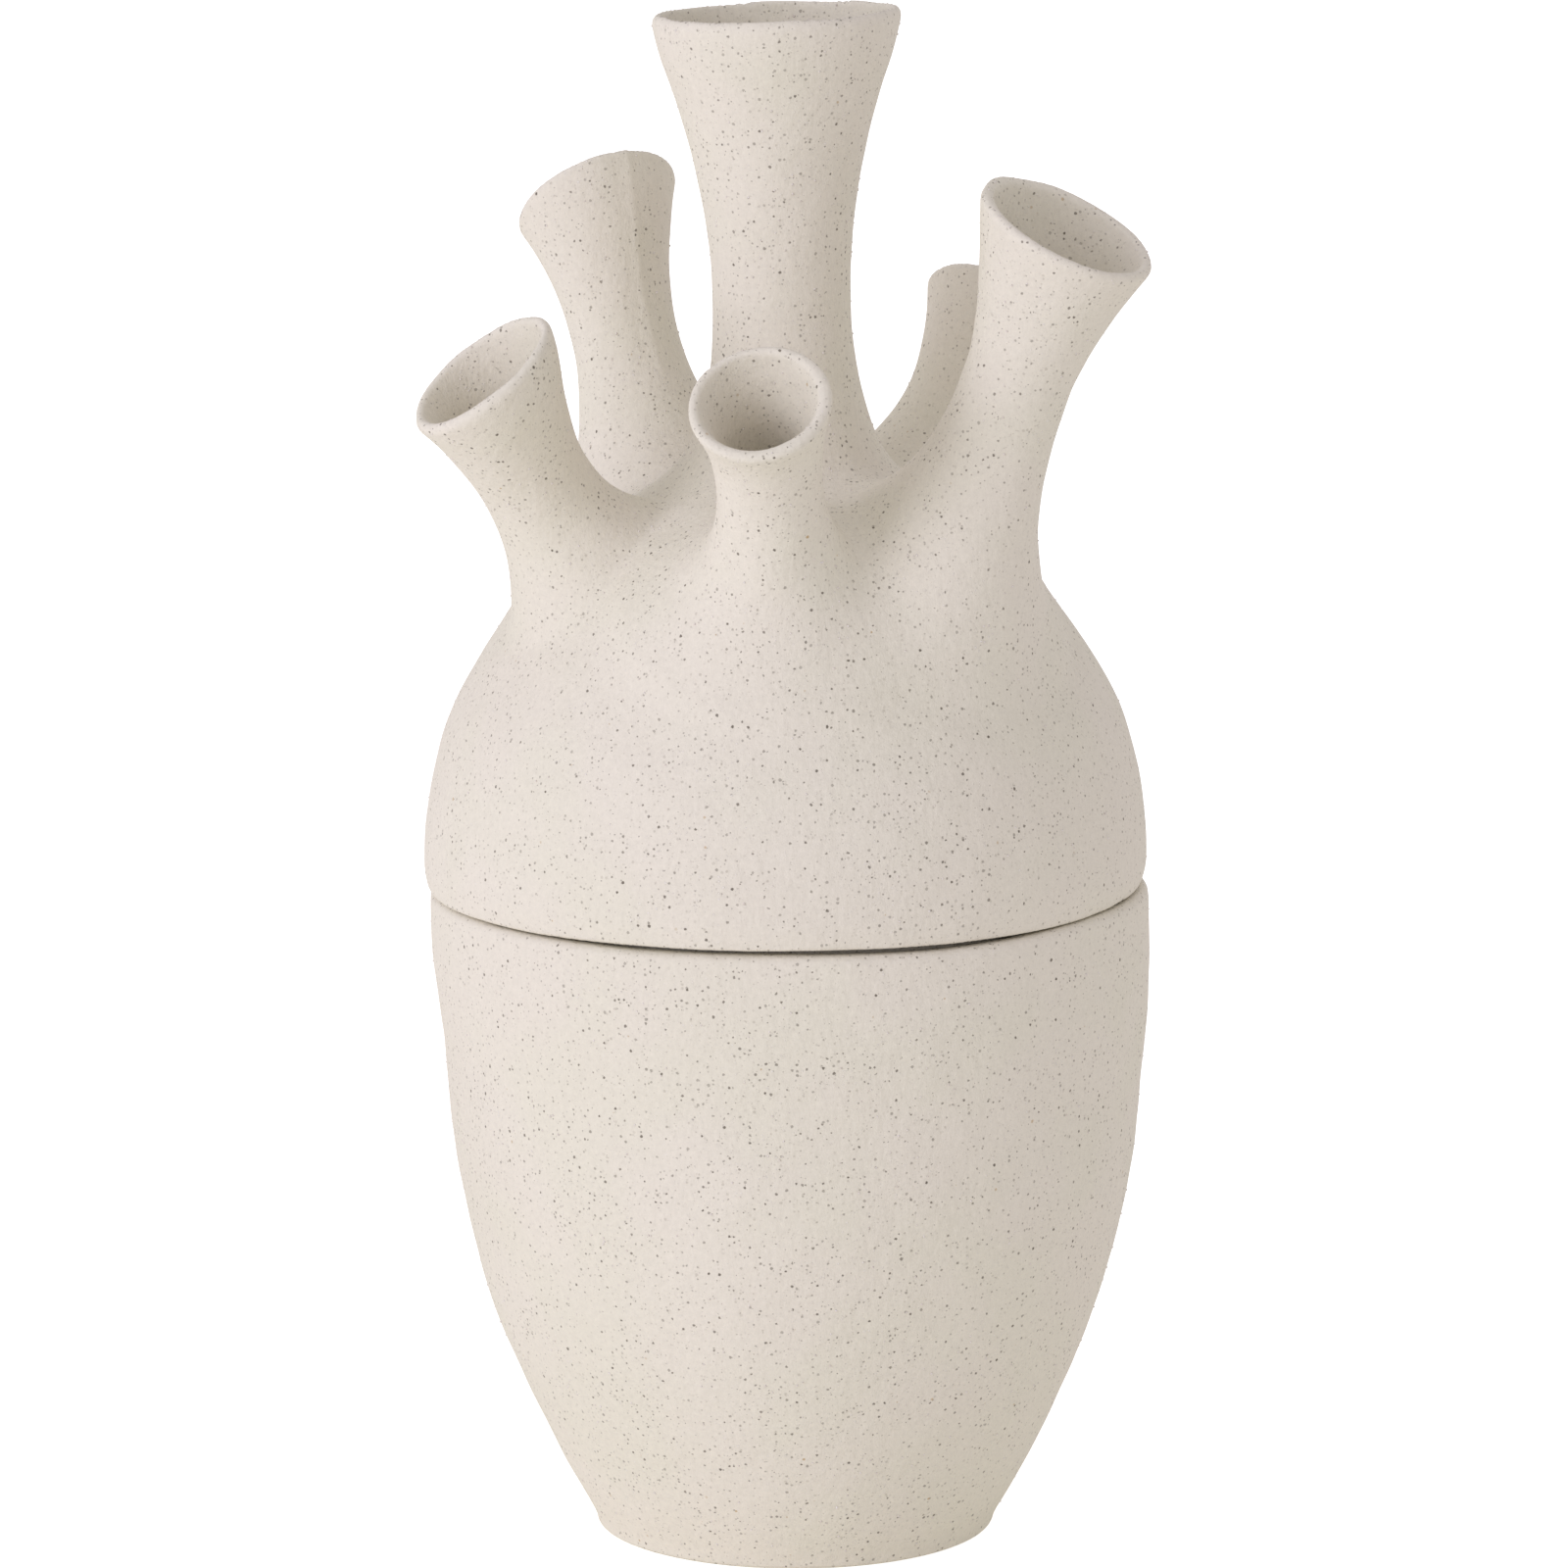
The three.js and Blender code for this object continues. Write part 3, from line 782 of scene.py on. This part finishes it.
class Nodes:
    """Short hand for building the node tree of a material or a world."""

    def __init__(self, owner):
        owner.use_nodes = True
        self.tree = owner.node_tree
        shaders = [x for x in self.tree.nodes if x.type in ("BSDF_PRINCIPLED", "BACKGROUND")]
        self.shader = shaders[0]

    def new(self, kind, **settings):
        node = self.tree.nodes.new(kind)
        for key, value in settings.items():
            setattr(node, key, value)
        return node

    def put(self, value, socket):
        if isinstance(value, bpy.types.NodeSocket):
            self.tree.links.new(value, socket)
        else:
            socket.default_value = value

    def math(self, operation, a, b, c=0.0, clamp=False):
        node = self.new("ShaderNodeMath", operation=operation, use_clamp=clamp)
        for value, socket in zip((a, b, c), node.inputs):
            self.put(value, socket)
        return node.outputs[0]

    def times(self, a, b):
        return self.math("MULTIPLY", a, b)

    def line(self, value, rise, start):
        """The value times the rise, plus the start."""
        return self.math("MULTIPLY_ADD", value, rise, start)

    def vector(self, operation, a, b):
        node = self.new("ShaderNodeVectorMath", operation=operation)
        self.put(a, node.inputs[0])
        self.put(b, node.inputs[1])
        return node.outputs[0]

    def ramp(self, value, low, high, to_low=0.0, to_high=1.0):
        node = self.new("ShaderNodeMapRange", interpolation_type="SMOOTHSTEP")
        for given, socket in zip((value, low, high, to_low, to_high), node.inputs):
            self.put(given, socket)
        return node.outputs[0]

    def mix(self, factor, a, b):
        node = self.new("ShaderNodeMix", data_type="RGBA", blend_type="MIX")
        node.clamp_factor = True
        self.put(factor, node.inputs["Factor"])
        self.put(a, [s for s in node.inputs if s.name == "A" and s.type == "RGBA"][0])
        self.put(b, [s for s in node.inputs if s.name == "B" and s.type == "RGBA"][0])
        return [s for s in node.outputs if s.type == "RGBA"][0]

    def noise(self, where, per_metre, detail, roughness):
        node = self.new("ShaderNodeTexNoise", noise_dimensions="3D")
        self.put(where, node.inputs["Vector"])
        self.put(per_metre, node.inputs["Scale"])
        self.put(detail, node.inputs["Detail"])
        self.put(roughness, node.inputs["Roughness"])
        return node.outputs["Fac"]

    def shaken(self, where, per_metre, distance):
        """Places moved at random by up to about that distance, for shapes that aren't even."""
        node = self.new("ShaderNodeTexNoise", noise_dimensions="3D")
        self.put(where, node.inputs["Vector"])
        node.inputs["Scale"].default_value = per_metre
        move = self.new("ShaderNodeVectorMath", operation="MULTIPLY_ADD")
        self.put(node.outputs["Color"], move.inputs[0])
        move.inputs[1].default_value = (2 * distance,) * 3
        self.put(where, move.inputs[2])
        return move.outputs[0]

    def grains(self, where, spacing_mm, smallest_mm, largest_mm, edge_mm, shift):
        """A mask of grains at random places, and two random numbers of each grain."""
        cells = self.new("ShaderNodeTexVoronoi", voronoi_dimensions="3D", feature="F1")
        self.put(self.vector("ADD", where, shift), cells.inputs["Vector"])
        cells.inputs["Scale"].default_value = 1 / (spacing_mm * MM)
        cells.inputs["Randomness"].default_value = 1.0
        parts = self.new("ShaderNodeSeparateColor")
        self.put(cells.outputs["Color"], parts.inputs[0])
        red, green, blue = parts.outputs[:3]
        growth, smallest = (largest_mm - smallest_mm) / spacing_mm, smallest_mm / spacing_mm
        size = self.line(self.math("POWER", red, 2.0), growth, smallest)
        short = self.math("SUBTRACT", size, cells.outputs["Distance"])
        return self.ramp(short, 0.0, edge_mm / spacing_mm), green, blue

    def relief(self, height, strength, distance):
        bump = self.new("ShaderNodeBump")
        bump.inputs["Strength"].default_value = strength
        bump.inputs["Distance"].default_value = distance
        self.put(height, bump.inputs["Height"])
        self.put(bump.outputs[0], self.shader.inputs["Normal"])


def body_colour(n, where, fine):
    """Broad warm and greenish clouds, then fine sand."""
    tone = n.ramp(n.noise(where, per_metre=14, detail=3, roughness=0.55), 0.35, 0.65)
    blush = n.ramp(n.noise(where, per_metre=33, detail=2, roughness=0.5), 0.38, 0.68)
    colour = n.mix(n.times(blush, 0.5), n.mix(tone, CLAY_WARM, CLAY_PLAIN), CLAY_GREENISH)
    sand = n.noise(where, per_metre=2400, detail=2, roughness=0.6)
    shade = n.math("ADD", n.times(sand, 0.07), n.times(fine, 0.17))
    dim = n.new("ShaderNodeVectorMath", operation="SCALE")
    n.put(colour, dim.inputs[0])
    n.put(n.math("ADD", shade, 0.89), dim.inputs["Scale"])
    return dim.outputs[0]


def dark_specks(n, where, grainy, shift):
    """Mask and strength of grey-brown specks, crowded here and there."""
    crowd = n.ramp(n.noise(where, per_metre=110, detail=3, roughness=0.65), 0.32, 0.68)
    dark, pick, depth = n.grains(
        grainy, spacing_mm=1.12, smallest_mm=0.20, largest_mm=0.44, edge_mm=0.16,
        shift=(0.1 + shift, 0.2, 0.3),
    )
    present = n.ramp(n.line(crowd, 0.60, pick), 0.67, 0.71)
    strength = n.line(n.math("POWER", depth, 2.0), 0.48, 0.42)
    return n.times(dark, present), strength


def faint_specks(n, grainy, shift):
    """Fainter specks, which lie under the surface."""
    faint, pick, depth = n.grains(
        grainy, spacing_mm=0.96, smallest_mm=0.22, largest_mm=0.46, edge_mm=0.22,
        shift=(0.5, 0.1 + shift, 0.7),
    )
    faint = n.times(faint, n.ramp(pick, 0.35, 0.40))
    return n.times(faint, n.times(depth, 0.36))


def rusty_grains(n, grainy, shift):
    rust, _, depth = n.grains(
        grainy, spacing_mm=7.0, smallest_mm=0.22, largest_mm=0.45, edge_mm=0.12,
        shift=(0.9, 0.4, 0.2 + shift),
    )
    return n.times(rust, n.line(depth, 0.5, 0.25))


def raised_sand(n, where, grainy, shift):
    """Pale sand grains that stand up from the surface, thicker in patches, and their paleness."""
    patches = n.ramp(n.noise(where, per_metre=40, detail=2, roughness=0.5), 0.40, 0.64)
    pale, pick, depth = n.grains(
        grainy, spacing_mm=0.95, smallest_mm=0.15, largest_mm=0.30, edge_mm=0.12,
        shift=(0.3, 0.6, 0.8 + shift),
    )
    raised = n.times(pale, n.line(patches, 0.75, 0.25))
    raised = n.times(raised, n.ramp(pick, 0.25, 0.35))
    return raised, n.times(raised, n.times(depth, 0.45))


def clay_relief(n, where, raised, dark):
    """Dry grain, low dimples, raised sand and slightly sunk specks."""
    drawn = n.vector("MULTIPLY", where, (1, 1, 0.55))
    height = n.times(n.noise(where, per_metre=1400, detail=3, roughness=0.65), 0.08)
    height = n.line(n.noise(drawn, per_metre=560, detail=3, roughness=0.6), 0.34, height)
    height = n.line(n.noise(where, per_metre=170, detail=2, roughness=0.5), 0.40, height)
    height = n.line(raised, 0.13, height)
    height = n.line(dark, -0.02, height)
    n.relief(height, strength=0.8, distance=MM)


def clay_material(name, shift):
    material = bpy.data.materials.new(name)
    n = Nodes(material)
    where = n.new("ShaderNodeTexCoord").outputs["Object"]
    fine = n.noise(where, per_metre=800, detail=3, roughness=0.6)
    grainy = n.shaken(where, per_metre=2600, distance=0.22 * MM)
    dark, strength = dark_specks(n, where, grainy, shift)
    raised, paleness = raised_sand(n, where, grainy, shift)
    colour = n.mix(n.times(dark, strength), body_colour(n, where, fine), SPECK_DARK)
    colour = n.mix(faint_specks(n, grainy, shift), colour, SPECK_FAINT)
    colour = n.mix(rusty_grains(n, grainy, shift), colour, RUST)
    colour = n.mix(paleness, colour, SAND_PALE)
    n.put(colour, n.shader.inputs["Base Color"])
    n.put(n.ramp(fine, 0.3, 0.7, 0.84, 0.96), n.shader.inputs["Roughness"])
    n.shader.inputs["Specular IOR Level"].default_value = 0.25
    clay_relief(n, where, raised, dark)
    return material


def grit_material():
    """Pale quartz and feldspar sand, each grain a little different."""
    material = bpy.data.materials.new("sand_grit")
    n = Nodes(material)
    where = n.new("ShaderNodeTexCoord").outputs["Object"]
    kind = n.ramp(n.noise(where, per_metre=900, detail=1, roughness=0.5), 0.35, 0.65)
    n.put(n.mix(kind, QUARTZ, FELDSPAR), n.shader.inputs["Base Color"])
    gloss = n.noise(where, per_metre=3000, detail=2, roughness=0.5)
    n.put(n.ramp(gloss, 0.3, 0.7, 0.55, 0.85), n.shader.inputs["Roughness"])
    pits = n.noise(where, per_metre=6000, detail=2, roughness=0.6)
    n.relief(pits, strength=0.4, distance=0.1 * MM)
    return material


# The vase

vessel_skin = make_vessel()
cover_skin = make_cover()
vessel_skin.data.materials.append(clay_material("vessel_clay", shift=0.0))
cover_skin.data.materials.append(clay_material("cover_clay", shift=0.37))
vessel_grit = make_grit("vessel_grit", vessel_skin, count=900, seed=21, wanted=vessel_wanted)
cover_grit = make_grit("cover_grit", cover_skin, count=2200, seed=22, wanted=cover_wanted)
sand = grit_material()
vessel_grit.data.materials.append(sand)
cover_grit.data.materials.append(sand)
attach(vessel_skin, "vessel")
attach(vessel_grit, "vessel")
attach(cover_skin, "cover")
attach(cover_grit, "cover")
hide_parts("lower_vessel")
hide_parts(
    "cover_dome", "centre_spout", "front_spout", "right_spout",
    "right_rear_spout", "left_rear_spout", "left_front_spout",
)

# Floor, light and camera

FLOOR_HALF = 14.0
FLOOR_COLOUR = (0.90, 0.89, 0.85, 1)

# The floor's own glow as light, and what it adds where it is seen directly
FLOOR_GLOW = 0.16
FLOOR_SEEN = 0.56

# The world's colour and strength as light
WORLD_COLOUR = (0.95, 0.91, 1.0, 1)
WORLD_LEVEL = 0.75
WHITE = (1, 1, 1, 1)

# The lamp's place, the spot that it faces, its side, power and colour
KEY_PLACE = (-1.755, -1.473, 0.65)
KEY_AIM = (0, 0, 0.2)
KEY_SIZE = 1.2
KEY_POWER = 22.2
KEY_COLOUR = (0.818, 0.818, 1.0)

# The camera: its focal length in pixels of a frame that is so wide, the sensor's width, its
# place, and how many degrees it looks down
FRAME_PIXELS = 1600
FOCAL_PIXELS = 8610
SENSOR = 36.0
CAMERA_PLACE = (-0.00235, -1.843, 0.511)
CAMERA_DOWN = 10.54
CLIP_NEAR, CLIP_FAR = 0.1, 60.0


def seen_directly(n):
    """1 for what the camera sees directly, in a reflection or through glass, else 0."""
    path = n.new("ShaderNodeLightPath")
    total = n.math("ADD", path.outputs["Is Camera Ray"], path.outputs["Is Glossy Ray"])
    return n.math("ADD", total, path.outputs["Is Transmission Ray"], clamp=True)


def make_floor():
    half = FLOOR_HALF
    corners = [(-half, -half, 0), (half, -half, 0), (half, half, 0), (-half, half, 0)]
    mesh = bpy.data.meshes.new("floor")
    mesh.from_pydata(corners, [], [(0, 1, 2, 3)])
    floor = bpy.data.objects.new("floor", mesh)
    bpy.context.scene.collection.objects.link(floor)
    material = bpy.data.materials.new("floor_paper")
    n = Nodes(material)
    n.shader.inputs["Base Color"].default_value = FLOOR_COLOUR
    n.shader.inputs["Roughness"].default_value = 0.9
    n.shader.inputs["Specular IOR Level"].default_value = 0.0
    n.shader.inputs["Emission Color"].default_value = WHITE
    glow = n.line(seen_directly(n), FLOOR_SEEN, FLOOR_GLOW)
    n.put(glow, n.shader.inputs["Emission Strength"])
    mesh.materials.append(material)


def make_world():
    """White where it is seen directly; as light, dimmer and a little violet."""
    world = bpy.data.worlds.new("studio")
    bpy.context.scene.world = world
    n = Nodes(world)
    seen = seen_directly(n)
    n.put(n.mix(seen, WORLD_COLOUR, WHITE), n.shader.inputs["Color"])
    n.put(n.line(seen, 1 - WORLD_LEVEL, WORLD_LEVEL), n.shader.inputs["Strength"])


def make_key_lamp():
    """A square soft lamp, front left, that faces the vase."""
    lamp = bpy.data.lights.new("key", "AREA")
    lamp.size, lamp.energy, lamp.color = KEY_SIZE, KEY_POWER, KEY_COLOUR
    piece = bpy.data.objects.new("key", lamp)
    piece.location = KEY_PLACE
    way = Vector(KEY_AIM) - Vector(KEY_PLACE)
    piece.rotation_euler = way.to_track_quat("-Z", "Y").to_euler()
    bpy.context.scene.collection.objects.link(piece)


def make_camera():
    camera = bpy.data.cameras.new("camera")
    camera.sensor_width = SENSOR
    camera.lens = SENSOR * FOCAL_PIXELS / FRAME_PIXELS
    camera.clip_start, camera.clip_end = CLIP_NEAR, CLIP_FAR
    piece = bpy.data.objects.new("camera", camera)
    piece.location = CAMERA_PLACE
    piece.rotation_euler = (math.radians(90 - CAMERA_DOWN), 0, 0)
    bpy.context.scene.collection.objects.link(piece)
    bpy.context.scene.camera = piece


make_floor()
make_world()
make_key_lamp()
make_camera()
bpy.context.scene.view_settings.view_transform = "Standard"
